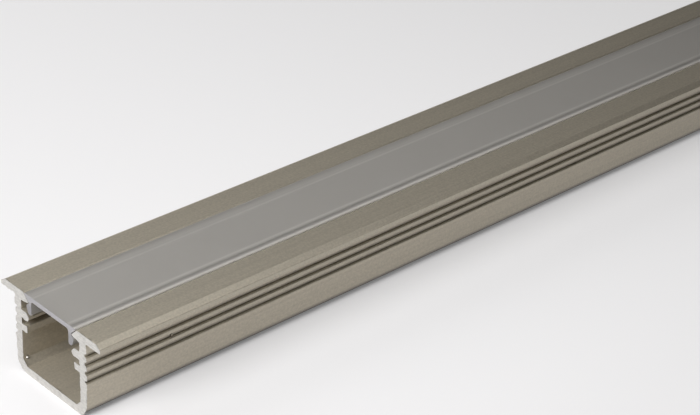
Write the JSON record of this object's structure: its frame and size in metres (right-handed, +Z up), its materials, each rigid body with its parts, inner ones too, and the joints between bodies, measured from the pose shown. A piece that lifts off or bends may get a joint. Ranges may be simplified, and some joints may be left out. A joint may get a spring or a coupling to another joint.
{
  "type": "led strip aluminium profile",
  "caption": "Recessed aluminium channel for an LED strip, with T flanges, hooked lips, side grooves and a slide-in frosted cover.",
  "frame": {"origin": "middle of the underside of the channel's floor, halfway along the length", "axes": "+X across the section, +Y along the length away from the sawn end that the picture shows, +Z up through the cover"},
  "size_m": [0.02, 0.2, 0.012],
  "materials": {
    "anodised_aluminium": "satin anodised, pale champagne grey, fine grain along the length; bare bright metal on the sawn ends",
    "frosted_plastic": "frosted translucent, satin, neutral grey"
  },
  "bodies": {
    "profile": {"channel": "anodised_aluminium"},
    "cover": {"diffuser": "frosted_plastic"}
  },
  "joints": [
    {"name": "cover_slide", "type": "slide", "parent": "profile", "child": "cover", "axis": [0, 1, 0], "range_m": [-0.19, 0.19]}
  ]
}
